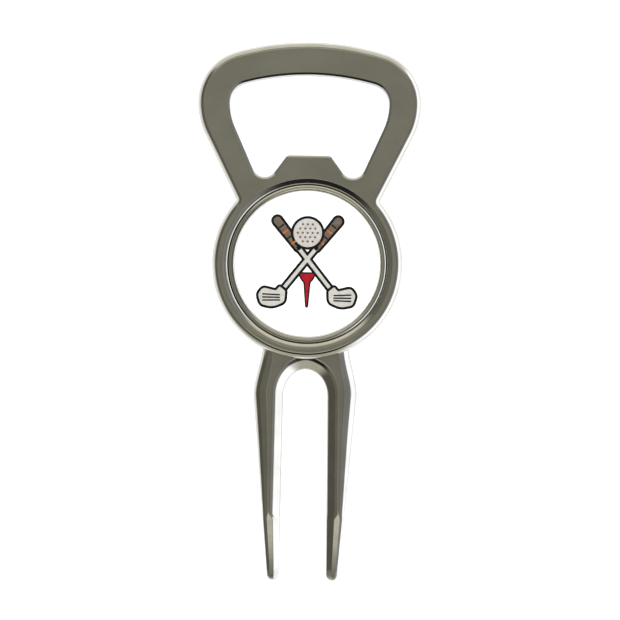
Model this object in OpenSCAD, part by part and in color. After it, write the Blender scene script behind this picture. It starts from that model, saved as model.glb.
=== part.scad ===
// Golf divot repair tool: a die-cast body with an opener loop, a marker seat and two prongs,
// and a ball marker that a magnet holds in the seat.
// The tool lies on its back. +Y runs towards the loop, -Y towards the prong tips and +Z is up.
// The origin is the centre of the marker seat, on the back face.

/* [Casting] */
// Thickness of the loop and the ring
body_t = 4; // [3.8:0.1:5]
// Width of the rounded edge around the front face
edge_w = 1.1; // [0.6:0.1:1.2]
// Chamfer around the back face
back_chamfer = 0.5; // [0.3:0.1:0.6]

/* [Opener loop] */
// Width of the loop
loop_w = 36.1; // [35:0.1:38]
// Distance from the marker's centre to the top of the loop
loop_top = 35.85; // [35.5:0.05:37]
// Height of the loop's widest line
loop_wide_y = 26; // [25.5:0.1:26.5]
// Radius of the loop's shoulders
shoulder_r = 8.5; // [8:0.1:9]
// Radius where the shoulders run into the straight sides
side_r = 12; // [11:0.5:14]
// Lean of the loop's straight sides
side_lean = 26.5; // [25:0.5:28]

/* [Cap window] */
// Width of the window
window_w = 25.7; // [25:0.1:26.5]
// Distance from the marker's centre to the top of the window
window_top = 30.5; // [30.2:0.1:31]
// Radius of the window's upper corners
window_corner_r = 3.2; // [2.8:0.1:3.6]
// Radius where the upper corners run into the straight sides
window_side_r = 10; // [9:0.5:12]
// Lean of the window's straight sides
window_lean = 24; // [23:0.5:25]
// Radius of the two pockets beside the tab
pocket_r = 2; // [1.6:0.1:2.2]
// Height of the tab's edge
tab_top = 17.5; // [17.3:0.1:18]
// Width of the tab's edge, between its corners
tab_w = 7; // [6:0.1:7.4]
// Lean of the tab's sides
tab_lean = 36; // [34:0.5:38]
// Radius of the tab's corners
tab_corner_r = 0.5; // [0.5:0.1:0.8]
// Width of the broken edge around the back of the window
window_break = 0.3; // [0.1:0.05:0.35]
// Width of the shallow rim around the front of the window
window_rim_w = 0.4; // [0.2:0.05:0.45]
// Depth of the shallow rim around the front of the window
window_rim_h = 0.12; // [0.05:0.01:0.2]

/* [Marker seat] */
// Outer radius of the ring
ring_r = 15.4; // [15.2:0.1:16]
// Radius of the seat
seat_r = 12.8; // [12.8:0.05:13]
// Depth of the seat
seat_depth = 1.7; // [1.65:0.05:1.8]
// Width of the bevel around the seat's mouth
seat_bevel_w = 1; // [0.5:0.1:1.2]
// Depth of the bevel around the seat's mouth
seat_bevel_h = 0.3; // [0.2:0.05:0.6]

/* [Prongs] */
// Thickness of the prongs
prong_t = 3.15; // [3:0.05:3.4]
// Distance from the marker's centre to the end of the straight prongs, where the noses begin
prong_reach = 50.3; // [46:0.1:54]
// Width across both prongs at their widest
fork_w = 16.72; // [16.4:0.02:17]
// Distance from the marker's centre to the widest line of the prongs
hip_y = 21.5; // [21:0.1:22]
// Width across both prongs at the noses
fork_tip_w = 11.6; // [11.2:0.1:12]
// Width of the gap at the arch
gap_w = 7.1; // [7:0.1:7.2]
// Width of the gap at the noses
gap_tip_w = 7.6; // [7.3:0.1:7.8]
// Distance from the marker's centre to the top of the arch
arch_y = 17.1; // [16.8:0.1:17.3]
// Width of the crowned outer edges
crown_w = 1.7; // [1.4:0.1:1.8]
// Depth of the crowned outer edges
crown_h = 0.95; // [0.7:0.05:1.1]
// Width of the slopes along the inner edges
slope_w = 1.8; // [1.5:0.1:2]
// Depth of the slopes along the inner edges
slope_h = 0.9; // [0.7:0.05:1.1]
// Length of the thinned ends, without the noses
thin_l = 9.8; // [8:0.1:12]
// How much lower the face is at the noses
thin_cut = 1; // [0.8:0.05:1.2]
// How far the back rises towards the noses
nose_base = 0.3; // [0.1:0.1:0.4]

/* [Magnet] */
// Radius of the magnet
magnet_r = 5; // [4:0.5:6]
// Thickness of the magnet
magnet_t = 1.2; // [1:0.1:1.25]
// Radial clearance around the magnet
magnet_gap = 0.05; // [0.03:0.01:0.1]
// How far the magnet lies below the seat's floor
magnet_below = 0.05; // [0.03:0.01:0.1]
// Thickness of the glue under the magnet
glue_t = 0.1; // [0.05:0.05:0.15]

/* [Ball marker] */
// Radius of the marker coin
coin_r = 12.7; // [12.6:0.05:12.7]
// Thickness of the marker coin at its rim
coin_t = 1.6; // [1.55:0.05:1.6]
// Width of the coin's raised rim
rim_w = 0.92; // [0.8:0.02:1.1]
// Depth of the recess inside the rim
recess_depth = 0.57; // [0.5:0.01:0.6]
// Clearance under the coin
coin_gap = 0.02; // [0.01:0.01:0.03]
// Clearance around what lies in the recess
inlay_gap = 0.06; // [0.03:0.01:0.1]
// Thickness of the adhesive film in the recess
film_t = 0.07; // [0.05:0.01:0.1]
// Thickness of the printed disc
print_t = 0.13; // [0.1:0.01:0.15]
// Thickness of the clear dome at its edge
dome_edge_t = 0.25; // [0.2:0.01:0.3]
// Rise of the clear dome from its edge to its middle
dome_rise = 0.25; // [0.1:0.01:0.3]

/* [Hidden] */
$fn = 128;
// Overrun of a cutter past the face that it opens
past = 0.1;

// Heights above the back face
seat_z = body_t - seat_depth;
magnet_top = seat_z - magnet_below;
magnet_bottom = magnet_top - magnet_t;
pocket_z = magnet_bottom - glue_t;
coin_z = seat_z + coin_gap;
rim_z = coin_z + coin_t;
recess_z = rim_z - recess_depth;
print_z = recess_z + film_t;
dome_z = print_z + print_t;
inlay_r = coin_r - rim_w - inlay_gap;

// Outlines are drawn up their right side, from the middle line to the middle line, and mirrored,
// so that they run anticlockwise.
function polar(r, a) = r * [cos(a), sin(a)];
function unit(v) = v / norm(v);
function mix(a, b, t) = a + (b - a) * t;
function arc(centre, r, from, to, steps) =
    [for (i = [0:steps]) centre + polar(r, mix(from, to, i / steps))];
function bezier(a, b, c, d, steps) = [
    for (i = [0:steps])
        let (t = i / steps, u = 1 - t)
        u * u * u * a + 3 * u * u * t * b + 3 * u * t * t * c + t * t * t * d
];
// Two stretches whose shared point is kept once
function joined(a, b) = concat(a, [for (i = [1:len(b) - 1]) b[i]]);
function both_sides(half) =
    concat(half, [for (i = [len(half) - 1:-1:0]) if (half[i].x > 0.001) [-half[i].x, half[i].y]]);
// Where the line through p at angle a meets the line through q at angle b
function meet(p, a, q, b) =
    let (d = q - p) p + polar((d.x * sin(b) - d.y * cos(b)) / sin(b - a), a);
// The radius of the arc, centred on the middle line, that passes (0, top) and runs smoothly into
// an arc of radius r around the point corner
function crown_r(corner, r, top) =
    let (rise = top - corner.y) (corner.x * corner.x + rise * rise - r * r) / (2 * (rise - r));
// A wide arc over the top that ends in a corner arc, from the corner's right to the middle line
function shoulder_and_crown(corner, r, top) =
    let (
        big_r = crown_r(corner, r, top),
        crown = [0, top - big_r],
        turn = atan2(corner.y - crown.y, corner.x)
    )
    joined(arc(corner, r, 0, turn, 12), arc(crown, big_r, turn, 90, 14));
function inset(points, d) = [
    for (i = [0:len(points) - 1])
        let (n = len(points), along = unit(points[(i + 1) % n] - points[(i + n - 1) % n]))
        points[i] + d * [-along.y, along.x]
];

// A closed solid through rings of points, which run anticlockwise as seen from the last ring
module loft(rings) {
    n = len(rings[0]);
    last = len(rings) - 1;
    walls = [
        for (k = [0:last - 1], i = [0:n - 1])
            let (a = k * n + i, b = k * n + (i + 1) % n)
            each [[a, a + n, b], [b, a + n, b + n]]
    ];
    first_cap = [for (i = [0:n - 1]) i];
    last_cap = [for (i = [n - 1:-1:0]) last * n + i];
    polyhedron(points = [for (ring = rings) each ring], faces = concat(walls, [first_cap, last_cap]));
}
// A solid through copies of one outline. Each level is [how far the outline moves in, height].
module plate(outline, levels) {
    loft([for (level = levels) [for (p = inset(outline, level[0])) [p.x, p.y, level[1]]]]);
}

// The rounded front edge, from the side up to the face, as [distance in, height]
function edge_levels(top) =
    [for (a = [0:30:90]) [edge_w * (1 - cos(a)), top - edge_w * (1 - sin(a))]];

// The loop's outline, which ends inside the ring
loop_foot = 13;
function loop_outline() =
    let (
        side_centre = [loop_w / 2 - side_r, loop_wide_y],
        side_end = side_centre + polar(side_r, -side_lean),
        foot = side_end - polar(loop_foot, 90 - side_lean)
    )
    both_sides(concat([foot], joined(
        arc(side_centre, side_r, -side_lean, 0, 6),
        shoulder_and_crown([loop_w / 2 - shoulder_r, loop_wide_y], shoulder_r, loop_top)
    )));

function window_outline() =
    let (
        side_centre = [window_w / 2 - window_side_r, loop_wide_y],
        side_end = side_centre + polar(window_side_r, -window_lean),
        tab_corner = [tab_w / 2, tab_top],
        tab_centre = tab_corner - tab_corner_r * [tan(45 - tab_lean / 2), 1],
        pocket = meet(
            tab_corner + polar(pocket_r, tab_lean), tab_lean - 90,
            side_end - polar(pocket_r, -window_lean), 90 - window_lean
        )
    )
    both_sides(concat(
        arc(tab_centre, tab_corner_r, 90, tab_lean, 4),
        arc(pocket, pocket_r, 180 + tab_lean, 360 - window_lean, 10),
        joined(
            arc(side_centre, window_side_r, -window_lean, 0, 6),
            shoulder_and_crown(
                [window_w / 2 - window_corner_r, loop_wide_y], window_corner_r, window_top
            )
        )
    ));

module loop_plate() {
    plate(loop_outline(), concat([[back_chamfer, 0], [0, back_chamfer]], edge_levels(body_t)));
}
module window_cutter() {
    over = 0.1;
    plate(window_outline(), [
        [-window_break - past, -past],
        [0, window_break],
        [0, body_t - window_rim_h],
        [-window_rim_w * (1 + over), body_t + window_rim_h * over]
    ]);
}

module ring_disc() {
    front = edge_levels(body_t);
    rotate_extrude() polygon(concat(
        [[0, 0], [ring_r - back_chamfer, 0], [ring_r, back_chamfer]],
        [for (level = front) [ring_r - level[0], level[1]]],
        [[0, body_t]]
    ));
}
module seat_cutter() {
    bevel = [seat_bevel_w, seat_bevel_h];
    rotate_extrude() polygon([
        [0, seat_z],
        [seat_r, seat_z],
        [seat_r, body_t - bevel.y],
        [seat_r, body_t - bevel.y] + bevel * (1 + past),
        [0, body_t + bevel.y * past]
    ]);
    translate([0, 0, pocket_z]) cylinder(r = magnet_r + magnet_gap, h = seat_z - pocket_z + past);
}

// The prongs are one solid through sections, each of which runs from the outer to the inner edge.
// A section here is [outer point, inner point, width of the crown, width of the slope, height of
// the back, height of the face].
ring_overlap = 1.2;
root_turn = -61;
root_handle = [0, 3];
hip_handle = [0.2, 2.5];
root_steps = 4;
hip_steps = 7;
root_r = ring_r - ring_overlap;
hip = [fork_w / 2, -hip_y];
nose_r = (fork_tip_w - gap_tip_w) / 4;
nose = [(fork_tip_w + gap_tip_w) / 4, -prong_reach];
blade_l = prong_reach - hip_y;
// The arch is half an ellipse that ends at the hips, and the slope widens towards its top by this factor
arch_h = hip_y - arch_y;
arch_slope = 1.22;
// At the start of the thinned ends the face falls at this rate, and over this length the edges narrow
thin_rate = 0.085;
knee_l = 0.8;
// Shares of the width of a thinned end that the crown and the slope take
tip_crown = 0.24;
tip_slope = 0.43;
// Share of its thickness that a nose loses by its end, above and below
nose_pinch = 0.3;
// Each edge from the face to the side, as shares of its width and depth
crown_line = [[1, 0], [0.59, 0.18], [0.18, 0.56], [0, 1]];
slope_line = [[1, 0], [0.75, 0.1], [0.07, 0.78], [0, 1]];

// The crown narrows where the prong does: to a share of its width, and to a share of what the
// slope leaves of it, beyond a least width
crown_share = 0.35;
crown_rest_share = 0.55;
crown_least = 0.2;
function crown_at(w, slope) =
    min(crown_w, crown_share * w, crown_rest_share * (w - slope) + crown_least);
function prong_root() =
    let (
        start = polar(root_r, root_turn),
        outer = joined(
            arc([0, 0], root_r, -90, root_turn, root_steps),
            bezier(start, start - root_handle, hip + hip_handle, hip, hip_steps)
        ),
        count = len(outer) - 1
    )
    [
        for (i = [0:count])
            let (
                turn = mix(90, 0, i / count),
                inner = [gap_w / 2 * cos(turn), arch_h * sin(turn) - hip_y],
                slope = slope_w * mix(arch_slope, 1, i / count)
            )
            [outer[i], inner, crown_at(norm(inner - outer[i]), slope), slope, 0, prong_t]
    ];
function prong_blade() = [
    for (past_knee = [(thin_l - blade_l) / 2, 0, knee_l, thin_l / 4, thin_l / 2, 3 * thin_l / 4, thin_l])
        let (
            t = (blade_l - thin_l + past_knee) / blade_l,
            outer = mix(hip, nose + [nose_r, 0], t),
            inner = mix([gap_w / 2, -hip_y], nose - [nose_r, 0], t),
            w = norm(inner - outer),
            thinned = max(0, past_knee / thin_l),
            tip = max(0, min(1, past_knee / knee_l)),
            cut = thin_rate * thin_l * thinned + (thin_cut - thin_rate * thin_l) * thinned * thinned
        )
        [
            outer, inner,
            mix(crown_at(w, slope_w), tip_crown * w, tip), mix(slope_w, tip_slope * w, tip),
            nose_base * thinned, prong_t - cut
        ]
];
function prong_nose() =
    let (w = 2 * nose_r, top = prong_t - thin_cut, end_rate = 2 * thin_cut / thin_l - thin_rate)
    [
        for (a = [15:15:75])
            let (pinch = nose_pinch * (top - nose_base) * (1 - cos(a)))
            [
                nose + polar(nose_r, -a), nose + polar(nose_r, 180 + a),
                tip_crown * w * cos(a), tip_slope * w * cos(a),
                nose_base + pinch, top - pinch - end_rate * nose_r * sin(a)
            ]
    ];
function prong_section(s) =
    let (
        outer = s[0],
        inner = s[1],
        crown = s[2],
        slope = s[3],
        base = s[4],
        top = s[5],
        across = unit(inner - outer),
        back = min(back_chamfer, norm(inner - outer) / 4),
        back_h = min(back, (top - base) / 5),
        rows = concat(
            [[outer + across * back, base], [outer, base + back_h]],
            [
                for (i = [len(crown_line) - 1:-1:0])
                    let (p = crown_line[i])
                    [outer + across * crown * p.x, top - crown_h * crown / crown_w * p.y]
            ],
            [
                for (p = slope_line)
                    [inner - across * slope * p.x, top - slope_h * slope / slope_w * p.y]
            ],
            [[inner, base + back_h], [inner - across * back, base]]
        )
    )
    [for (row = rows) [row[0].x, row[0].y, row[1]]];
module prongs() {
    right = concat(prong_root(), prong_blade(), prong_nose());
    left = [
        for (i = [len(right) - 1:-1:1])
            let (s = right[i])
            concat([[-s[0].x, s[0].y], [-s[1].x, s[1].y]], [for (k = [2:5]) s[k]])
    ];
    loft([for (s = concat(left, right)) prong_section(s)]);
}

// One nickel-plated casting: loop, ring and prongs
module tool_body() {
    color([0.55, 0.54, 0.49])
        difference() {
            union() {
                ring_disc();
                loop_plate();
                prongs();
            }
            window_cutter();
            seat_cutter();
        }
}

// A plated disc magnet, glued into the pocket in the seat's floor
module magnet() {
    color([0.75, 0.76, 0.78]) translate([0, 0, magnet_bottom]) cylinder(r = magnet_r, h = magnet_t);
}
module magnet_adhesive() {
    color([0.82, 0.78, 0.6]) translate([0, 0, pocket_z]) cylinder(r = magnet_r, h = glue_t);
}

// A steel disc with a raised, rounded rim around a shallow recess
module marker_coin() {
    round_r = 0.3;
    rim_in = coin_r - rim_w;
    rim_mid = coin_r - rim_w / 2;
    crown_h = 0.25;
    color([0.72, 0.71, 0.66])
        rotate_extrude() polygon(concat(
            [[0, coin_z], [coin_r - round_r, coin_z]],
            [for (a = [-60:30:0]) [coin_r - round_r, coin_z + round_r] + polar(round_r, a)],
            [for (a = [0:22.5:180]) [rim_mid + rim_w / 2 * cos(a), rim_z - crown_h * (1 - sin(a))]],
            [[rim_in, recess_z], [0, recess_z]]
        ));
}
// A film of adhesive that holds the printed disc
module marker_adhesive() {
    color([0.9, 0.9, 0.85]) translate([0, 0, recess_z]) cylinder(r = inlay_r, h = film_t);
}
module marker_print() {
    color("white") translate([0, 0, print_z]) cylinder(r = inlay_r, h = print_t);
}
// Clear resin poured over the print, with a low crown
module marker_dome() {
    steps = 10;
    cap_r = (inlay_r * inlay_r + dome_rise * dome_rise) / (2 * dome_rise);
    sweep = asin(inlay_r / cap_r);
    cap_z = dome_z + dome_edge_t + dome_rise - cap_r;
    color([0.95, 0.97, 1, 0.3])
        rotate_extrude() polygon(concat(
            [[0, dome_z], [inlay_r, dome_z]],
            [
                for (i = [steps:-1:0])
                    let (turn = sweep * i / steps)
                    [cap_r * sin(turn), cap_z + cap_r * cos(turn)]
            ]
        ));
}

tool_body();
magnet();
magnet_adhesive();
marker_coin();
marker_adhesive();
marker_print();
marker_dome();
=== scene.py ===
"""Looks of the divot repair tool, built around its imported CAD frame.

The casting is rebuilt on the CAD model's outline, with finer edges: its crowns, rims and bevels have
sizes of their own, a few tenths of a millimetre from the CAD model's at most. The ball marker gets its
rolled rim, printed disc and poured resin. A white table, a soft lamp and a banded room surround them.
All shapes are worked out in millimetres and scaled to metres when a piece is made.
"""

from collections import namedtuple
import math

import bpy
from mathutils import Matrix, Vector


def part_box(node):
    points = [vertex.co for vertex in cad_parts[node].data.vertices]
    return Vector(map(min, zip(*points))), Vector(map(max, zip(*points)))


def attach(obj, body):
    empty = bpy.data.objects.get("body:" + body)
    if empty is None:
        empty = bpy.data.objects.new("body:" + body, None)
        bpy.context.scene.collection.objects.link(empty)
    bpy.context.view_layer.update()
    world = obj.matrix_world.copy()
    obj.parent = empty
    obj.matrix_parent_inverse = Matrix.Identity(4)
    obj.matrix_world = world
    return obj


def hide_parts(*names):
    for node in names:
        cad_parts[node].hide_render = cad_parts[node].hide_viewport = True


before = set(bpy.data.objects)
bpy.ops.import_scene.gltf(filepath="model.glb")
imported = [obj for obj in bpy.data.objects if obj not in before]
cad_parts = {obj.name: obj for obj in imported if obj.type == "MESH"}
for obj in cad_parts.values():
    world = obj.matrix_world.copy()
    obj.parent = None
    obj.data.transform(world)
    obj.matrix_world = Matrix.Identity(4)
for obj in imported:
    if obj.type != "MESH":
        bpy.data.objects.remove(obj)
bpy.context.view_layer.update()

MM = 0.001


def box_mm(node):
    """A CAD node's lowest and highest corners, in millimetres."""
    low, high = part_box(node)
    return Vector(low) / MM, Vector(high) / MM


# ---------------------------------------------------------------- sizes, in millimetres

BODY_LOW, BODY_HIGH = box_mm("tool_body")
COIN_LOW, COIN_HIGH = box_mm("marker_coin")
FILM_LOW, FILM_HIGH = box_mm("marker_adhesive")
PRINT_LOW, PRINT_HIGH = box_mm("marker_print")
DOME_LOW, DOME_HIGH = box_mm("marker_dome")
MAGNET_LOW, MAGNET_HIGH = box_mm("magnet")
GLUE_LOW, GLUE_HIGH = box_mm("magnet_adhesive")

# The plate's thickness, and the round-overs of its face and its back.
BODY_T = BODY_HIGH.z
EDGE_R = 1.1
BACK_R = 0.5

# The loop's outline. Leans are in degrees from upright.
LOOP_HALF = BODY_HIGH.x
LOOP_TOP = BODY_HIGH.y
WIDE_Y = 26.0
SHOULDER_R = 8.5
SIDE_R = 12.0
SIDE_LEAN = 26.5
NOTCH_R = 0.35

# The window: its outline, the shallow rim around its face, and the tab that stands in it.
WINDOW_HALF = 12.85
WINDOW_TOP = 30.5
WINDOW_CORNER_R = 3.2
WINDOW_SIDE_R = 10.0
WINDOW_LEAN = 24.0
WINDOW_RIM_W = 0.38
WINDOW_RIM_H = 0.1
WINDOW_TURN_W = 0.1
WINDOW_TURN_H = 0.12
WINDOW_TURN_TOP = 0.74
WINDOW_BACK_R = 0.3
WINDOW_POCKET_R = 2.0
TAB_TOP = 17.5
TAB_HALF = 3.5
TAB_LEAN = 36.0
TAB_CORNER_R = 0.5

# The ring and its seat. The bevel around the seat starts steep and flattens outwards, in degrees.
RING_R = 15.4
SEAT_R = 12.8
SEAT_GAP = 0.02
SEAT_Z = COIN_LOW.z - SEAT_GAP
FLOOR_R = 0.12
BEVEL_W = 1.0
BEVEL_H = 0.23
BEVEL_STEEP = 22.0
BEVEL_FLAT = 10.0
MOUTH_W = 0.24
MOUTH_H = 0.3
POCKET_GAP = 0.05
POCKET_EDGE_W = 0.08

# The prongs, from a root sunk in the ring, over the hip and the knee to the round nose. Past the knee,
# THIN_L is how long the thinner end is, THIN_LEAN its slope at the knee, and THIN_CUT its whole drop.
PRONG_T = 3.15
ROOT_DEPTH = 1.2
ROOT_R = RING_R - ROOT_DEPTH
ROOT_TURN = -61.0
ROOT_PULL = Vector((0, -3))
HIP = Vector((8.36, -21.5))
HIP_PULL = Vector((0.2, 2.5))
GAP_HALF = 3.55
GAP_TIP_HALF = 3.8
FORK_TIP_HALF = 5.8
ARCH_RISE = 4.4
THIN_L = 9.8
THIN_LEAN = 0.085
THIN_CUT = 1.0
KNEE_L = 0.8
NOSE_BASE = 0.3
NOSE_PINCH = 0.2
NOSE_END = 84
NOSE_R = (FORK_TIP_HALF - GAP_TIP_HALF) / 2
NOSE = Vector(((FORK_TIP_HALF + GAP_TIP_HALF) / 2, BODY_LOW.y + NOSE_R))

# The prongs' edges, each from the face down to the side: ((distance in, depth), rounding) for each corner.
CROWN_W = 2.1
SLOPE_W = 1.8
CROWN = [
    ((2.3, 0), 0), ((2.1, 0), 0.1), ((1.05, 0.19), 0.25),
    ((0.32, 0.57), 0.2), ((0, 1.0), 0.2), ((0, 1.35), 0),
]
SLOPE = [
    ((2.0, 0), 0), ((1.8, 0), 0.1), ((1.35, 0.09), 0.2),
    ((0.75, 0.39), 0.3), ((0.12, 0.7), 0.12), ((0, 1.1), 0),
]
TIP_SLOPE = [
    ((2.0, 0), 0), ((1.8, 0), 0.1), ((1.3, 0.24), 0.2),
    ((0.75, 0.5), 0.3), ((0.12, 0.8), 0.12), ((0, 1.1), 0),
]

# How much wider the slope is at the root; the most that the crown takes of a prong's width, and of what
# the slope leaves of it; both edges' shares of the width at the tip; and the rounding of the back.
ROOT_SLOPE = 1.22
CROWN_SHARE = 0.44
CROWN_SHARE_LEFT = 0.78
TIP_CROWN_SHARE = 0.24
TIP_SLOPE_SHARE = 0.43
PRONG_BACK_SHARE_W = 0.25
PRONG_BACK_SHARE_H = 0.2
PRONG_BACK_ROUNDING = 0.25

# The ball marker, and the magnet that holds it.
COIN_R = COIN_HIGH.x
RIM_W = 0.92
RIM_DISH_W = 0.5
RIM_DISH_H = 0.06
RIM_INNER_H = 0.2
RIM_INNER_LEAN = 0.02
RIM_ROUND = 0.2
COIN_EDGE_R = 0.3
INLAY_R = DOME_HIGH.x
DOME_EDGE_T = 0.25
DOME_EDGE_R = 0.12
PRINT_EDGE = 0.02
MAGNET_EDGE_R = 0.2
MAGNET_BACK_R = 0.15

# The drawn-in rims of the glue and the film: (distance in, share of the thickness).
GLUE_RIM = [(0, 0), (0.05, 0.35), (0.07, 0.7), (0.03, 1)]
FILM_RIM = [(0, 0), (0.02, 0.5), (0, 1)]

# How far cutters run on beyond the back and beyond the face, down or up and then outwards, and how near
# two heights have to be to count as the same.
PAST = 0.2
PAST_W = 0.12
LIP = 0.02
LIP_W = 0.1
SAME = 1e-3

# ---------------------------------------------------------------- outlines


def polar(r, degrees):
    """The point at a distance and an angle from the middle."""
    angle = math.radians(degrees)
    return Vector((r * math.cos(angle), r * math.sin(angle)))


def mix(a, b, t):
    """a, turning into b as t goes from 0 to 1."""
    return a + (b - a) * t


def spread(a, b, steps):
    """Evenly spaced values after a, up to and including b."""
    return [mix(a, b, i / steps) for i in range(1, steps + 1)]


def arc(centre, r, start, end, step=0.3):
    """Points along an arc, about a step apart, both ends included."""
    steps = max(4, math.ceil(abs(math.radians(end - start)) * r / step))
    return [centre + polar(r, mix(start, end, i / steps)) for i in range(steps + 1)]


def bezier(a, b, c, d, steps):
    points = []
    for i in range(steps + 1):
        t = i / steps
        u = 1 - t
        points.append(u**3 * a + 3 * u * u * t * b + 3 * u * t * t * c + t**3 * d)
    return points


def quadratic(a, b, c, steps):
    """A curve from a to c that heads for b at both ends."""
    ts = [i / steps for i in range(steps + 1)]
    return [(1 - t) ** 2 * a + 2 * t * (1 - t) * b + t * t * c for t in ts]


def soften(corners, steps=6):
    """A closed polygon, from (point, tangent length) pairs, with its corners rounded."""
    longest = 0.45
    places = [Vector(point) for point, _ in corners]
    points = []
    for i, (_, reach) in enumerate(corners):
        corner = places[i]
        if not reach:
            points.append(corner)
            continue
        back, on = places[i - 1] - corner, places[(i + 1) % len(places)] - corner
        start = corner + back.normalized() * min(reach, longest * back.length)
        end = corner + on.normalized() * min(reach, longest * on.length)
        points += quadratic(start, corner, end, steps)
    return points


def chain(*stretches):
    """The stretches as one line, with each shared end kept once."""
    line = []
    for stretch in stretches:
        for point in stretch:
            if not line or (point - line[-1]).length > 1e-4:
                line.append(point)
    return line


def both_sides(right):
    """A closed anticlockwise outline from its right half, which starts and ends on the middle line."""
    left = [Vector((-p.x, p.y)) for p in reversed(right) if p.x > 1e-4]
    return right + left


def inset(outline, distance):
    """A closed anticlockwise outline, moved inwards."""
    moved = []
    for i, point in enumerate(outline):
        along = (outline[(i + 1) % len(outline)] - outline[i - 1]).normalized()
        moved.append(point + distance * Vector((-along.y, along.x)))
    return moved


def meet(p, a, q, b):
    """Where the line through p at angle a crosses the line through q at angle b."""
    along, across, gap = polar(1, a), polar(1, b), q - p
    return p + along * (gap.x * across.y - gap.y * across.x) / (along.x * across.y - along.y * across.x)


def shoulder_and_crown(corner, r, top):
    """A corner arc that runs on, tangent, into a wide arc over the middle line."""
    rise = top - corner.y
    crown_r = (corner.x**2 + rise**2 - r * r) / (2 * (rise - r))
    crown = Vector((0, top - crown_r))
    turn = math.degrees(math.atan2(corner.y - crown.y, corner.x))
    return chain(arc(corner, r, 0, turn), arc(crown, crown_r, turn, 90, 0.6))


def plate_outline():
    """The ring and the loop as one silhouette, with a small fillet in the notch between them."""
    side_centre = Vector((LOOP_HALF - SIDE_R, WIDE_Y))
    side_start = side_centre + polar(SIDE_R, -SIDE_LEAN)
    upwards = polar(1, 90 - SIDE_LEAN)
    outwards = polar(1, -SIDE_LEAN)
    base = side_start + NOTCH_R * outwards
    reach = base.dot(upwards)
    down = reach - math.sqrt(reach**2 - base.length_squared + (RING_R + NOTCH_R) ** 2)
    notch = base - down * upwards
    ring_turn = math.degrees(math.atan2(notch.y, notch.x))
    fillet = arc(notch, NOTCH_R, ring_turn - 180, 180 - SIDE_LEAN - 360, 0.06)
    return both_sides(chain(
        arc(Vector((0, 0)), RING_R, -90, ring_turn),
        fillet,
        arc(side_centre, SIDE_R, -SIDE_LEAN, 0),
        shoulder_and_crown(Vector((LOOP_HALF - SHOULDER_R, WIDE_Y)), SHOULDER_R, LOOP_TOP),
    ))


def window_outline():
    """The window, with the tab between its two lower pockets."""
    side_centre = Vector((WINDOW_HALF - WINDOW_SIDE_R, WIDE_Y))
    side_start = side_centre + polar(WINDOW_SIDE_R, -WINDOW_LEAN)
    tab_corner = Vector((TAB_HALF, TAB_TOP))
    tab_centre = tab_corner - TAB_CORNER_R * Vector((math.tan(math.radians(45 - TAB_LEAN / 2)), 1))
    pocket = meet(
        tab_corner + polar(WINDOW_POCKET_R, TAB_LEAN), TAB_LEAN - 90,
        side_start - polar(WINDOW_POCKET_R, -WINDOW_LEAN), 90 - WINDOW_LEAN,
    )
    corner = Vector((WINDOW_HALF - WINDOW_CORNER_R, WIDE_Y))
    return both_sides(chain(
        arc(tab_centre, TAB_CORNER_R, 90, TAB_LEAN, 0.1),
        arc(pocket, WINDOW_POCKET_R, 180 + TAB_LEAN, 360 - WINDOW_LEAN, 0.2),
        arc(side_centre, WINDOW_SIDE_R, -WINDOW_LEAN, 0),
        shoulder_and_crown(corner, WINDOW_CORNER_R, WINDOW_TOP),
    ))


def circle(r, segments=288):
    """A full circle around the middle, anticlockwise."""
    return [polar(r, 360 * i / segments) for i in range(segments)]


# ---------------------------------------------------------------- meshes


def loft(rings):
    """Vertices and faces of a closed solid through rings of points, anticlockwise as seen from the last."""
    count = len(rings[0])
    faces = [list(reversed(range(count)))]
    for k in range(len(rings) - 1):
        for i in range(count):
            a, b = k * count + i, k * count + (i + 1) % count
            faces.append([a, b, b + count, a + count])
    faces.append([(len(rings) - 1) * count + i for i in range(count)])
    return [p for ring in rings for p in ring], faces


def at_height(outline, z):
    """A flat outline, placed at a height."""
    return [Vector((p.x, p.y, z)) for p in outline]


def plate(outline, levels):
    """A solid through copies of an outline. Each level is (how far the outline moves in, height)."""
    return loft([at_height(inset(outline, distance), z) for distance, z in levels])


def lathe(profile, segments=288):
    """A solid of revolution from (radius, height) pairs, which run from the lowest disc to the highest."""
    return loft([at_height(circle(r, segments), z) for r, z in profile])


def rounded_over(r, top, steps=9):
    """Levels of a round-over, from the side up to the face."""
    turns = [90 * i / steps for i in range(steps + 1)]
    return [(r * (1 - math.cos(math.radians(a))), top - r * (1 - math.sin(math.radians(a)))) for a in turns]


def rounded_under(r, steps=8):
    """Levels of a round-over around the back, from the face up to the side."""
    return [(distance, r - z) for distance, z in reversed(rounded_over(r, r, steps))]


def solid(name, shape):
    """A new object from (vertices, faces), still in millimetres."""
    vertices, faces = shape
    mesh = bpy.data.meshes.new(name)
    mesh.from_pydata(vertices, [], faces)
    piece = bpy.data.objects.new(name, mesh)
    bpy.context.scene.collection.objects.link(piece)
    return piece


def combine(piece, other, operation):
    """Unites another solid with piece, or cuts it out, and deletes the other."""
    modifier = piece.modifiers.new("combine", "BOOLEAN")
    modifier.object = other
    modifier.operation = operation
    modifier.solver = "EXACT"
    result = bpy.data.meshes.new_from_object(piece.evaluated_get(bpy.context.evaluated_depsgraph_get()))
    piece.modifiers.clear()
    piece.data = result
    bpy.data.objects.remove(other)


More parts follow.
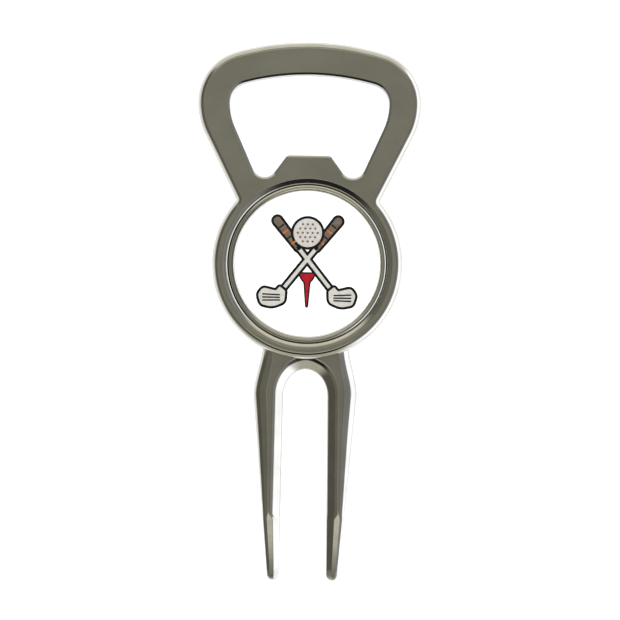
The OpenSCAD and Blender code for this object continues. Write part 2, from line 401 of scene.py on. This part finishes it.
def finish_piece(piece, body, materials, replaced=(), sharp_angle=32):
    """Scales piece to metres, smooths it up to sharp_angle, and gives it its materials and its body."""
    mesh = piece.data
    mesh.transform(((MM, 0, 0, 0), (0, MM, 0, 0), (0, 0, MM, 0), (0, 0, 0, 1)))
    mesh.shade_smooth()
    mesh.set_sharp_from_angle(angle=math.radians(sharp_angle))
    for material in materials:
        mesh.materials.append(material)
    weighted = piece.modifiers.new("weighted_normals", "WEIGHTED_NORMAL")
    weighted.keep_sharp = True
    weighted.weight = 50
    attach(piece, body)
    if replaced:
        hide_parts(*replaced)
    return piece


# ---------------------------------------------------------------- prongs


PRONG_CROWN, PRONG_SLOPE, PRONG_TIP_SLOPE = [soften(edge, 8) for edge in (CROWN, SLOPE, TIP_SLOPE)]

# A cut across a prong: its outer and inner points, the widths of its crown and slope, its share of the
# tip's profile, and the heights of its back and its face.
Section = namedtuple("Section", "outer inner crown_w slope_w tip base top")


def crown_width(width, slope_w):
    """How wide the outer edge's crown is where the prong has this width."""
    return min(CROWN_W, CROWN_SHARE * width, CROWN_SHARE_LEFT * (width - slope_w))


def root_sections():
    """From the ring's lowest point, around the arch, to the hip."""
    root = polar(ROOT_R, ROOT_TURN)
    outer_points = chain(
        arc(Vector((0, 0)), ROOT_R, -90, ROOT_TURN, 1),
        bezier(root, root + ROOT_PULL, HIP + HIP_PULL, HIP, 22),
    )
    sections = []
    for i, outer in enumerate(outer_points):
        share = i / (len(outer_points) - 1)
        turn = math.radians(mix(90, 0, share))
        inner = Vector((GAP_HALF * math.cos(turn), HIP.y + ARCH_RISE * math.sin(turn)))
        slope_w = SLOPE_W * mix(ROOT_SLOPE, 1, share)
        crown_w = crown_width((inner - outer).length, slope_w)
        sections.append(Section(outer, inner, crown_w, slope_w, 0, 0, PRONG_T))
    return sections


def blade_sections():
    """From the hip to the nose. Past the knee the edges change, and the face drops towards the tip."""
    length = HIP.y - NOSE.y
    knee = 1 - THIN_L / length
    sections = []
    for t in spread(0, knee, 14) + spread(knee, knee + KNEE_L / length, 8) + spread(knee, 1, 9):
        outer = mix(HIP, NOSE + Vector((NOSE_R, 0)), t)
        inner = mix(Vector((GAP_HALF, HIP.y)), NOSE - Vector((NOSE_R, 0)), t)
        width = (outer - inner).length
        past_knee = max(0, t - knee) * length
        thinned = past_knee / THIN_L
        cut = THIN_LEAN * past_knee + (THIN_CUT - THIN_LEAN * THIN_L) * thinned**2
        tip = min(1, past_knee / KNEE_L)
        crown_w = mix(crown_width(width, SLOPE_W), TIP_CROWN_SHARE * width, tip)
        slope_w = mix(SLOPE_W, TIP_SLOPE_SHARE * width, tip)
        sections.append(Section(outer, inner, crown_w, slope_w, tip, NOSE_BASE * thinned, PRONG_T - cut))
    return sections


def nose_sections(last):
    """The round end past the last blade section: it narrows and thins, and its face keeps dropping."""
    final_slope = 2 * THIN_CUT / THIN_L - THIN_LEAN
    sections = []
    for turn in spread(0, NOSE_END, 12):
        narrow = math.cos(math.radians(turn))
        pinch = NOSE_PINCH * (last.top - last.base) * (1 - narrow)
        drop = final_slope * NOSE_R * math.sin(math.radians(turn))
        sections.append(Section(
            NOSE + polar(NOSE_R, -turn), NOSE + polar(NOSE_R, 180 + turn),
            last.crown_w * narrow, last.slope_w * narrow, 1, last.base + pinch, last.top - pinch - drop,
        ))
    return sections


def prong_ring(section):
    """One closed section of a prong: a crowned outer edge, a flat face and an inner slope."""
    outer, inner, crown_w, slope_w, tip, base, top = section
    width = (inner - outer).length
    across = (inner - outer) / width
    crown = [(p.x * crown_w / CROWN_W, top - p.y * crown_w / CROWN_W) for p in reversed(PRONG_CROWN)]
    slope = [mix(p, q, tip) * slope_w / SLOPE_W for p, q in zip(PRONG_SLOPE, PRONG_TIP_SLOPE)]
    slope = [(width - p.x, top - p.y) for p in slope]
    back = min(BACK_R, PRONG_BACK_SHARE_W * width)
    back_z = base + min(back, PRONG_BACK_SHARE_H * (top - base))
    back_corners = [(width, back_z), (width - back, base), (back, base), (0, back_z)]
    ring = soften([(p, 0) for p in crown + slope] + [(p, PRONG_BACK_ROUNDING) for p in back_corners])
    return [Vector((outer.x + across.x * p.x, outer.y + across.y * p.x, p.y)) for p in ring]


def mirrored(section):
    """The same cut across the other prong."""
    outer, inner = [Vector((-p.x, p.y)) for p in (section.outer, section.inner)]
    return section._replace(outer=outer, inner=inner)


def prongs():
    """Both prongs as one solid, from the left tip through the arch to the right tip."""
    right = root_sections() + blade_sections()
    right += nose_sections(right[-1])
    left = [mirrored(section) for section in reversed(right[1:])]
    return loft([prong_ring(section) for section in left + right])


# ---------------------------------------------------------------- the casting


def window_levels():
    """The window's cutter flares at both faces: rounded at the back, with a shallow rim at the front."""
    back = [(-distance, z) for distance, z in rounded_under(WINDOW_BACK_R)[1:]]
    rim_z = BODY_T - WINDOW_RIM_H
    rim = quadratic(
        Vector((0, rim_z - WINDOW_TURN_H)), Vector((0, rim_z)),
        Vector((-WINDOW_TURN_W, BODY_T - WINDOW_RIM_H * WINDOW_TURN_TOP)), 3,
    )
    lip = WINDOW_RIM_W * (1 + LIP / WINDOW_RIM_H)
    return [(-WINDOW_BACK_R - PAST_W, -PAST)] + back + [tuple(p) for p in rim] + [(-lip, BODY_T + LIP)]


def seat_profile():
    """The magnet's pocket, the seat's floor and wall, its rounded mouth, and its bevel."""
    pocket_r = MAGNET_HIGH.x + POCKET_GAP
    bevel_out = Vector((SEAT_R + BEVEL_W, BODY_T))
    bevel_in = Vector((SEAT_R + MOUTH_W, BODY_T - BEVEL_H))
    bevel_turn = meet(bevel_in, BEVEL_STEEP, bevel_out, BEVEL_FLAT)
    mouth_corner = meet(Vector((SEAT_R, 0)), 90, bevel_in, BEVEL_STEEP)
    mouth = quadratic(mouth_corner - Vector((0, MOUTH_H)), mouth_corner, bevel_in, 8)
    bevel = quadratic(bevel_in, bevel_turn, bevel_out, 10)
    floor = [
        (pocket_r, GLUE_LOW.z), (pocket_r, SEAT_Z - POCKET_EDGE_W), (pocket_r + POCKET_EDGE_W, SEAT_Z),
        (SEAT_R - FLOOR_R, SEAT_Z), (SEAT_R - FLOOR_R / 3, SEAT_Z + FLOOR_R / 4), (SEAT_R, SEAT_Z + FLOOR_R),
    ]
    lip = (SEAT_R + BEVEL_W + LIP_W, BODY_T + LIP)
    return floor + [tuple(p) for p in mouth + bevel[1:]] + [lip]


def make_casting(face, polish, turned):
    """The plate and the prongs as one casting, with the window and the seat cut out of it."""
    levels = rounded_under(BACK_R) + rounded_over(EDGE_R, BODY_T)
    casting = solid("tool_casting", plate(plate_outline(), levels))
    combine(casting, solid("prongs", prongs()), "UNION")
    combine(casting, solid("window", plate(window_outline(), window_levels())), "DIFFERENCE")
    combine(casting, solid("seat", lathe(seat_profile())), "DIFFERENCE")
    for polygon in casting.data.polygons:
        z = polygon.center.z
        if z > BODY_T - SAME or (z < SAME and polygon.center.y > -RING_R):
            polygon.material_index = 0
        elif abs(z - SEAT_Z) < SAME:
            polygon.material_index = 2
        else:
            polygon.material_index = 1
    return finish_piece(casting, "tool", [face, polish, turned], ["tool_body"], 14)


def rimmed(low, high, rim, segments=288):
    """A thin disc that fills a box but for its rim, given as (distance in, share of the thickness)."""
    return lathe([(high.x - distance, mix(low.z, high.z, share)) for distance, share in rim], segments)


def make_magnet(material):
    """A plated disc with a softer edge on its upper face."""
    r = MAGNET_HIGH.x
    under = [(r - distance, MAGNET_LOW.z + z) for distance, z in rounded_under(MAGNET_BACK_R, 4)]
    over = [(r - distance, z) for distance, z in rounded_over(MAGNET_EDGE_R, MAGNET_HIGH.z, 5)]
    magnet = solid("disc_magnet", lathe(under + over, 144))
    return finish_piece(magnet, "tool", [material], ["magnet"])


def make_magnet_glue(material):
    """A thin bed of glue, slightly drawn in at its rim."""
    glue = solid("magnet_glue", rimmed(GLUE_LOW, GLUE_HIGH, GLUE_RIM, 144))
    return finish_piece(glue, "tool", [material], ["magnet_adhesive"])


# ---------------------------------------------------------------- the ball marker


def make_coin(polish, back):
    """A steel disc whose rim is rolled over around a shallow recess."""
    low, high = COIN_LOW.z, COIN_HIGH.z
    under = [(COIN_R - distance, low + z) for distance, z in rounded_under(COIN_EDGE_R, 6)]
    stretch = (RIM_W - RIM_DISH_W) / RIM_ROUND
    over = [(COIN_R - stretch * distance, z) for distance, z in rounded_over(RIM_ROUND, high, 10)]
    rim_in = Vector((COIN_R - RIM_W, high - RIM_DISH_H))
    slope = Vector((RIM_DISH_W, RIM_DISH_H))
    dish = quadratic(rim_in + slope * 0.5, rim_in, rim_in - Vector((0, RIM_INNER_H)), 6)
    inside = [rim_in + slope * 0.9] + dish + [Vector((rim_in.x - RIM_INNER_LEAN, FILM_LOW.z))]
    coin = solid("coin_disc", lathe(under + over + [tuple(p) for p in inside]))
    for polygon in coin.data.polygons:
        polygon.material_index = 1 if polygon.center.z < low + SAME else 0
    return finish_piece(coin, "marker", [polish, back], ["marker_coin"])


def make_film(material):
    """The clear adhesive under the print."""
    film = solid("adhesive_film", rimmed(FILM_LOW, FILM_HIGH, FILM_RIM))
    return finish_piece(film, "marker", [material], ["marker_adhesive"])


def make_print(material):
    """The white printed film, with a cut edge."""
    low, high, r = PRINT_LOW.z, PRINT_HIGH.z, PRINT_HIGH.x - PRINT_EDGE
    printed = solid("printed_disc", lathe([(r, low), (r, high - PRINT_EDGE), (r - PRINT_EDGE, high)]))
    return finish_piece(printed, "marker", [material], ["marker_print"])


def make_dome(material):
    """Clear resin: a short upright edge, a tight round shoulder and a low crown."""
    low, high = PRINT_HIGH.z - PRINT_EDGE, DOME_HIGH.z
    edge = rounded_over(DOME_EDGE_R, DOME_LOW.z + DOME_EDGE_T, 5)[:-2]
    shoulder = [(INLAY_R - distance, z) for distance, z in edge]
    crown_r, crown_z = shoulder[-1]
    shares = spread(0, 1, 24)[:-1]
    crown = [(crown_r * (1 - share), crown_z + (high - crown_z) * (1 - (1 - share) ** 2)) for share in shares]
    dome = solid("resin_dome", lathe([(INLAY_R, low)] + shoulder + crown))
    dome.visible_shadow = False
    return finish_piece(dome, "marker", [material], ["marker_dome"], 60)


# ---------------------------------------------------------------- the drawing on the print

INK_T = 0.012
INK_SUNK = 0.005
BORDER = 0.42
TEE_BORDER = 0.26
LINE_R = 0.12
DIMPLE_R = 0.19


def grown(outline, distance):
    """A closed anticlockwise outline, moved outwards."""
    return inset(outline, -distance)


def bar(start, end, start_r, end_r):
    """A round-ended bar that may taper, anticlockwise."""
    along = math.degrees(math.atan2(end.y - start.y, end.x - start.x))
    return chain(
        arc(end, end_r, along - 90, along + 90, 0.08), arc(start, start_r, along + 90, along + 270, 0.08)
    )


def disc(centre, r):
    """A filled circle's outline."""
    return arc(centre, r, 0, 360, 0.1)[:-1]


def flipped(outline):
    """The outline's mirror image over the middle line, still anticlockwise."""
    return [Vector((-p.x, p.y)) for p in reversed(outline)]


def club_shapes():
    """An iron, as (ink, level, outline): shaft, grip and a grooved head, bordered in black."""
    heel, grip_end = Vector((-4.1, -4.4)), Vector((4.9, 6.9))
    grip_start = mix(heel, grip_end, 0.62)
    across = (grip_end - grip_start).normalized().orthogonal()
    head_corners = [
        ((-3.5, -4.4), 0.2), ((-4.4, -3.7), 0.2), ((-5.0, -4.4), 0.3), ((-7.1, -3.9), 0.5),
        ((-7.9, -5.0), 0.5), ((-7.4, -6.6), 0.5), ((-5.5, -7.0), 0.8), ((-3.6, -6.2), 0.6),
    ]
    shapes = [
        ("bone", 2, bar(heel, grip_start, 0.27, 0.3)),
        ("taupe", 2, bar(grip_start, grip_end, 0.46, 0.62)),
        ("bone", 4, soften(head_corners, 4)),
    ]
    shapes = [("black", level - 1, grown(outline, BORDER)) for _, level, outline in shapes] + shapes
    for i in range(1, 5):
        middle = mix(grip_start, grip_end, i / 5)
        ink = "orange" if i % 2 else "black"
        shapes.append((ink, 3, bar(middle - 0.42 * across, middle + 0.42 * across, LINE_R, LINE_R)))
    for i in range(3):
        left, right = Vector((-7.1, -4.95 - 0.5 * i)), Vector((-4.4, -5.05 - 0.42 * i))
        shapes.append(("black", 5, bar(left, right, LINE_R, LINE_R)))
    return shapes


def ball_shapes():
    """A dimpled ball above the crossing, and a tee below it."""
    centre, r, pitch = Vector((0, 5.0)), 2.3, 0.8
    shapes = [("black", 3, disc(centre, r + BORDER)), ("bone", 4, disc(centre, r))]
    for row in range(-3, 4):
        for column in range(-4, 5):
            offset = Vector(((column + 0.5 * (row % 2)) * pitch, row * pitch * 0.87))
            if offset.length < r - 0.4:
                shapes.append(("taupe", 5, disc(centre + offset, DIMPLE_R)))
    tee_corners = [
        ((-1.15, -1.6), 0.15), ((-0.9, -2.3), 0.3), ((-0.32, -3.0), 0.3), ((0, -7.0), 0.2),
        ((0.32, -3.0), 0.3), ((0.9, -2.3), 0.3), ((1.15, -1.6), 0.15),
    ]
    tee = soften(tee_corners, 4)
    return shapes + [("black", 5, grown(tee, TEE_BORDER)), ("red", 6, tee)]


def make_drawing(inks):
    """Crossed irons with a ball and a tee, as thin films of ink, one piece for each colour."""
    shapes = ball_shapes()
    for ink, level, outline in club_shapes():
        shapes += [(ink, level, outline), (ink, level + 0.5, flipped(outline))]
    base = PRINT_HIGH.z
    for name, material in inks.items():
        vertices, faces = [], []
        for level, outline in [shape[1:] for shape in shapes if shape[0] == name]:
            bottom, top = base - INK_SUNK, base + INK_T * level
            film_vertices, film_faces = loft([at_height(outline, bottom), at_height(outline, top)])
            faces += [[i + len(vertices) for i in face] for face in film_faces]
            vertices += film_vertices
        finish_piece(solid("ink_" + name, (vertices, faces)), "marker", [material])


# ---------------------------------------------------------------- materials


def node(tree, kind, inputs=None, **settings):
    """A new node, with settings as its properties and inputs as links or plain values."""
    made = tree.nodes.new(kind)
    for name, value in settings.items():
        setattr(made, name, value)
    for name, value in (inputs or {}).items():
        if isinstance(value, bpy.types.NodeSocket):
            tree.links.new(value, made.inputs[name])
        else:
            made.inputs[name].default_value = value
    return made


def calc(tree, operation, *values):
    """The result of a maths node."""
    return node(tree, "ShaderNodeMath", dict(enumerate(values)), operation=operation).outputs[0]


def span(tree, value, low, high, to_low=0.0, to_high=1.0):
    """value, smoothly mapped from low..high to to_low..to_high."""
    ranges = {"Value": value, "From Min": low, "From Max": high, "To Min": to_low, "To Max": to_high}
    return node(tree, "ShaderNodeMapRange", ranges, interpolation_type="SMOOTHSTEP").outputs[0]


def blend_colour(tree, factor, a, b):
    """The mix of two colours or colour sockets."""
    mixer = node(tree, "ShaderNodeMix", data_type="RGBA")
    for socket, value in ((mixer.inputs[0], factor), (mixer.inputs[6], a), (mixer.inputs[7], b)):
        if isinstance(value, bpy.types.NodeSocket):
            tree.links.new(value, socket)
        else:
            socket.default_value = value if isinstance(value, float) else (*value, 1.0)
    return mixer.outputs[2]


def noise(tree, scale, detail=3.0, turn=0.0, offset=0.0, roughness=0.6):
    """Noise over the object's own coordinates. scale is in features per metre, one for each axis."""
    place = node(tree, "ShaderNodeTexCoord").outputs["Object"]
    turned = node(tree, "ShaderNodeMapping", {"Vector": place, "Rotation": (0, 0, math.radians(turn))})
    mapped = node(tree, "ShaderNodeMapping", {
        "Vector": turned.outputs[0], "Location": (offset, offset, offset), "Scale": scale,
    })
    settings = {"Vector": mapped.outputs[0], "Scale": 1.0, "Detail": detail, "Roughness": roughness}
    return node(tree, "ShaderNodeTexNoise", settings).outputs["Fac"]


def material(name, build, **plain):
    """A material whose Principled node takes plain values, and links from what build(tree) returns."""
    made = bpy.data.materials.new(name)
    made.use_nodes = True
    tree = made.node_tree
    surface = tree.nodes["Principled BSDF"]
    for socket, value in plain.items():
        surface.inputs[socket.replace("_", " ")].default_value = value
    for socket, value in build(tree).items():
        tree.links.new(value, surface.inputs[socket])
    return made


def bump(tree, height, strength, distance_mm):
    """A surface normal, tilted by the slope of height."""
    settings = {"Height": height, "Strength": strength, "Distance": distance_mm * MM}
    return node(tree, "ShaderNodeBump", settings).outputs[0]


NICKEL = (0.66, 0.635, 0.575)
NICKEL_DARK = (0.6, 0.575, 0.515)
# Painted shade: the brushed face's nickel is darker than the polished nickel, to keep the face dim under the
# room's light; its two tones drift at random.
SHADED_FACE_LIGHT = (0.535, 0.52, 0.452)
SHADED_FACE_DARK = (0.475, 0.461, 0.4)
STEEL = (0.69, 0.67, 0.61)
STEEL_DARK = (0.62, 0.6, 0.54)
GLUE = (0.75, 0.68, 0.45)
GLUE_DARK = (0.6, 0.52, 0.32)
FILM = (0.9, 0.9, 0.9)
FILM_DARK = (0.88, 0.88, 0.875)
UNDER_RESIN = {"Specular_IOR_Level": 0.0}

# The prongs' noses are worn duller: all of WORN_L, from where the wear fades out over the rest of FADED_L.
WORN_L = 0.9
FADED_L = 2.7
WORN_ROUGHNESS = 0.25


def brushed_nickel(tree):
    """Faint grain along X under a mottled, drifting tone over nickel painted darker as painted shade, and a
    few stray scratches.
    """
    grain = noise(tree, (420, 5200, 420), detail=4)
    mottle = noise(tree, (700, 900, 700), detail=3, offset=11)
    tone = noise(tree, (90, 130, 90), detail=2, offset=3)
    scratches = None
    for turn, offset in ((12, 1), (-31, 5), (78, 9)):
        line = span(tree, noise(tree, (55, 11000, 55), 1, turn, offset), 0.74, 0.82)
        scratches = line if scratches is None else calc(tree, "MAXIMUM", scratches, line)
    uneven = span(tree, mottle, 0.3, 0.7, -0.01, 0.01)
    rough = calc(tree, "ADD", span(tree, grain, 0.3, 0.7, 0.28, 0.32), uneven)
    height = calc(tree, "SUBTRACT", grain, calc(tree, "MULTIPLY", scratches, 0.8))
    return {
        # painted shade: the face's base colour is darker than the polished nickel; the mix of its two tones
        # is random
        "Base Color": blend_colour(tree, span(tree, tone, 0.3, 0.7), SHADED_FACE_LIGHT, SHADED_FACE_DARK),
        "Roughness": calc(tree, "ADD", rough, calc(tree, "MULTIPLY", scratches, 0.08)),
        "Normal": bump(tree, height, 0.06, 0.012),
    }


def polished_nickel(tree):
    """Bright plating over a cast surface that is never quite flat, worn duller at the prongs' noses."""
    waves = noise(tree, (260, 260, 260), detail=1)
    haze = noise(tree, (1500, 1500, 1500), detail=4, offset=2)
    place = node(tree, "ShaderNodeTexCoord").outputs["Object"]
    along = node(tree, "ShaderNodeSeparateXYZ", {0: place}).outputs[1]
    worn_y, faded_y = (BODY_LOW.y + WORN_L) * MM, (BODY_LOW.y + FADED_L) * MM
    wear = span(tree, along, worn_y, faded_y, WORN_ROUGHNESS, 0)
    return {
        "Base Color": blend_colour(tree, span(tree, waves, 0.3, 0.7), NICKEL, NICKEL_DARK),
        "Roughness": calc(tree, "ADD", span(tree, haze, 0.3, 0.7, 0.05, 0.13), wear),
        "Normal": bump(tree, waves, 0.15, 0.05),
    }


def turned_nickel(tree):
    """Fine rings left by facing the seat's floor."""
    place = node(tree, "ShaderNodeTexCoord").outputs["Object"]
    settings = {"Vector": place, "Scale": 900.0, "Distortion": 0.4, "Detail": 2.0}
    rings = node(tree, "ShaderNodeTexWave", settings, wave_type="RINGS", rings_direction="Z").outputs["Fac"]
    tone = noise(tree, (300, 300, 300), offset=4)
    return {
        "Base Color": blend_colour(tree, tone, NICKEL, NICKEL_DARK),
        "Roughness": span(tree, rings, 0, 1, 0.24, 0.4),
        "Normal": bump(tree, rings, 0.3, 0.02),
    }


def rim_steel(tree):
    """A rolled rim that has been polished along its length."""
    haze = noise(tree, (900, 900, 900), detail=3, offset=6)
    return {
        "Base Color": blend_colour(tree, haze, STEEL, STEEL_DARK),
        "Roughness": span(tree, haze, 0.3, 0.7, 0.07, 0.15),
        "Normal": bump(tree, haze, 0.1, 0.02),
    }


def glue_surface(tree):
    """Dried glue, a little lumpy."""
    lumps = noise(tree, (700, 700, 700), detail=3)
    return {
        "Base Color": blend_colour(tree, lumps, GLUE, GLUE_DARK),
        "Roughness": span(tree, lumps, 0.2, 0.8, 0.25, 0.5),
        "Normal": bump(tree, lumps, 0.3, 0.05),
    }


def print_surface(tree):
    """White film with the faintest tooth."""
    tooth = noise(tree, (4000, 4000, 4000), detail=2)
    return {
        "Base Color": blend_colour(tree, tooth, FILM, FILM_DARK),
        "Roughness": span(tree, tooth, 0.2, 0.8, 0.45, 0.6),
        "Normal": bump(tree, tooth, 0.05, 0.01),
    }


def ink_surface(light, dark):
    """An ink, a little uneven where the film took less of it."""
    def build(tree):
        patches = noise(tree, (1400, 1400, 1400), detail=4, offset=7)
        return {
            "Base Color": blend_colour(tree, span(tree, patches, 0.35, 0.65), light, dark),
            "Roughness": span(tree, patches, 0.2, 0.8, 0.35, 0.5),
        }
    return build


def resin_surface(tree):
    """Clear resin that has sagged a little as it set."""
    sag = noise(tree, (160, 160, 160), detail=1, offset=8)
    return {"Normal": bump(tree, sag, 0.05, 0.05)}


# ---------------------------------------------------------------- camera, table and light


CAMERA_X, CAMERA_Y, CAMERA_DISTANCE = 0.56, -7.44, 500.0
CAMERA_ROLL = 0.9
VIEW_W = 100.0
SENSOR_W = 36.0

TABLE_HALF = 3.0
TABLE_Z = -0.05 * MM
TABLE_COLOUR = (0.6, 0.6, 0.6, 1)
TABLE_GLOW = (0.9, 1, 1.2, 1)


def make_camera():
    """Straight above the face, rolled a little, as far away as a long lens needs."""
    data = bpy.data.cameras.new("camera")
    data.sensor_width = SENSOR_W
    data.lens = SENSOR_W * CAMERA_DISTANCE / VIEW_W
    data.clip_start, data.clip_end = 0.01, 20
    camera = bpy.data.objects.new("camera", data)
    camera.location = Vector((CAMERA_X, CAMERA_Y, BODY_T + CAMERA_DISTANCE)) * MM
    camera.rotation_euler = (0, 0, math.radians(CAMERA_ROLL))
    bpy.context.scene.collection.objects.link(camera)
    bpy.context.scene.camera = camera


def table_glow(tree):
    """Lit enough to look white itself, but a little less in what the metal mirrors."""
    seen = node(tree, "ShaderNodeLightPath").outputs["Is Camera Ray"]
    return {"Emission Strength": span(tree, seen, 0, 1, 0.28, 0.7)}


def make_table():
    """A wide white table that the tool lies on."""
    mesh = bpy.data.meshes.new("table_top")
    signs = ((-1, -1), (1, -1), (1, 1), (-1, 1))
    mesh.from_pydata([(TABLE_HALF * x, TABLE_HALF * y, TABLE_Z) for x, y in signs], [], [(0, 1, 2, 3)])
    table = bpy.data.objects.new("table_top", mesh)
    bpy.context.scene.collection.objects.link(table)
    mesh.materials.append(material(
        "table_white", table_glow, Base_Color=TABLE_COLOUR, Roughness=0.9, Emission_Color=TABLE_GLOW,
    ))


def make_lamp():
    """A wide soft light overhead, which the metal doesn't mirror."""
    data = bpy.data.lights.new("soft_light", "AREA")
    data.size = 1.2
    data.energy = 14
    lamp = bpy.data.objects.new("soft_light", data)
    lamp.location = (0, 0, 0.9)
    lamp.visible_glossy = False
    lamp.visible_camera = False
    bpy.context.scene.collection.objects.link(lamp)


CEILING = (0.23, 0.227, 0.196)
FRONT_HALO = (0.72, 0.72, 0.62)
BACK_HALO = (0.56, 0.56, 0.49)
LEFT_HALO = (0.33, 0.33, 0.28)
DUSK = (0.18, 0.176, 0.149)
NIGHT = (0.12, 0.117, 0.097)
EVENING = (0.3, 0.3, 0.255)
DAWN = (0.8, 0.8, 0.76)
DARK = (0.12, 0.108, 0.1)
BLUE_DIM = (0.26, 0.268, 0.275)
BLUE_GREY = (0.31, 0.33, 0.365)
WHITE = (1.65, 1.72, 1.9)
BLACK = (0.02, 0.02, 0.022)
LOW_CREAM = (0.55, 0.55, 0.47)
CREAM = (0.82, 0.83, 0.72)

# Each wall below the ceiling, as (lean where the colour starts to turn, lean where it has turned, colour).
LEFT_WALL = ((0.1, 0.17, LEFT_HALO), (0.26, 0.31, DUSK), (0.6, 0.72, NIGHT), (0.86, 0.97, DAWN))
RIGHT_WALL = (
    (0.18, 0.22, DARK), (0.26, 0.31, BLUE_DIM), (0.4, 0.45, BLUE_GREY),
    (0.5, 0.55, CEILING), (0.6, 0.82, WHITE),
)
BACK_WALL = ((0.14, 0.2, BACK_HALO), (0.3, 0.36, EVENING), (0.51, 0.62, CREAM))
FRONT_WALL = ((0.1, 0.17, FRONT_HALO), (0.25, 0.35, BLACK), (0.68, 0.75, LOW_CREAM))

# The front wall's direction: towards -Y, and a little towards -X.
FRONT_FACING = (-0.13, -0.99)


def bands(tree, value, first, *steps):
    """A colour that starts as first and turns into each step's colour as value goes from low to high."""
    colour = first
    for low, high, following in steps:
        colour = blend_colour(tree, span(tree, value, low, high), colour, following)
    return colour


def make_room():
    """What the metal mirrors: an olive ceiling over four walls, each banded by height.

    Bands are given by lean, how far a direction is from straight up: 0 overhead, 1 at the horizon.
    """
    world = bpy.data.worlds.new("room")
    bpy.context.scene.world = world
    world.use_nodes = True
    tree = world.node_tree
    tree.nodes.clear()
    direction = node(tree, "ShaderNodeTexCoord").outputs["Generated"]
    split = node(tree, "ShaderNodeSeparateXYZ", {0: direction})
    x, y, z = split.outputs[0], split.outputs[1], split.outputs[2]
    level_squared = calc(tree, "SUBTRACT", 1.0, calc(tree, "MULTIPLY", z, z))
    lean = calc(tree, "SQRT", calc(tree, "MAXIMUM", level_squared, 1e-6))
    right = calc(tree, "DIVIDE", x, lean)
    back = calc(tree, "DIVIDE", y, lean)
    front = calc(tree, "ADD", *[calc(tree, "MULTIPLY", *pair) for pair in zip((right, back), FRONT_FACING)])

    left_wall, right_wall, back_wall, front_wall = [
        bands(tree, lean, CEILING, *wall) for wall in (LEFT_WALL, RIGHT_WALL, BACK_WALL, FRONT_WALL)
    ]
    colour = blend_colour(tree, span(tree, right, -0.3, 0.3), left_wall, right_wall)
    colour = blend_colour(tree, span(tree, back, 0.6, 0.8), colour, back_wall)
    colour = blend_colour(tree, span(tree, front, 0.66, 0.92), colour, front_wall)

    by_camera = node(tree, "ShaderNodeLightPath").outputs["Is Camera Ray"]
    seen = blend_colour(tree, by_camera, colour, (1.0, 1.0, 1.0))
    background = node(tree, "ShaderNodeBackground", {"Color": seen})
    output = node(tree, "ShaderNodeOutputWorld")
    tree.links.new(background.outputs[0], output.inputs[0])
    bpy.context.scene.view_settings.view_transform = "Standard"


# ---------------------------------------------------------------- the whole

make_camera()
make_table()
make_lamp()
make_room()

glue = material("dried_glue", glue_surface, Metallic=0.0)
make_casting(
    material("brushed_nickel", brushed_nickel, Metallic=1.0),
    material("polished_nickel", polished_nickel, Metallic=1.0),
    material("turned_nickel", turned_nickel, Metallic=1.0),
)
make_magnet(material("magnet_plating", rim_steel, Metallic=1.0))
make_magnet_glue(glue)
make_coin(material("rim_steel", rim_steel, Metallic=1.0), material("coin_back", turned_nickel, Metallic=1.0))
make_film(glue)
make_print(material("print_white", print_surface))
make_drawing({
    "black": material("ink_black", ink_surface((0.002, 0.002, 0.002), (0.005, 0.005, 0.005)), **UNDER_RESIN),
    "bone": material("ink_bone", ink_surface((0.46, 0.44, 0.41), (0.4, 0.385, 0.355)), **UNDER_RESIN),
    "taupe": material("ink_taupe", ink_surface((0.13, 0.1, 0.08), (0.09, 0.07, 0.056)), **UNDER_RESIN),
    "orange": material("ink_orange", ink_surface((0.5, 0.14, 0.022), (0.4, 0.1, 0.015)), **UNDER_RESIN),
    "red": material("ink_red", ink_surface((0.3, 0.006, 0.012), (0.25, 0.005, 0.01)), **UNDER_RESIN),
})
make_dome(material("clear_resin", resin_surface, Transmission_Weight=1.0, Roughness=0.02, IOR=1.5))
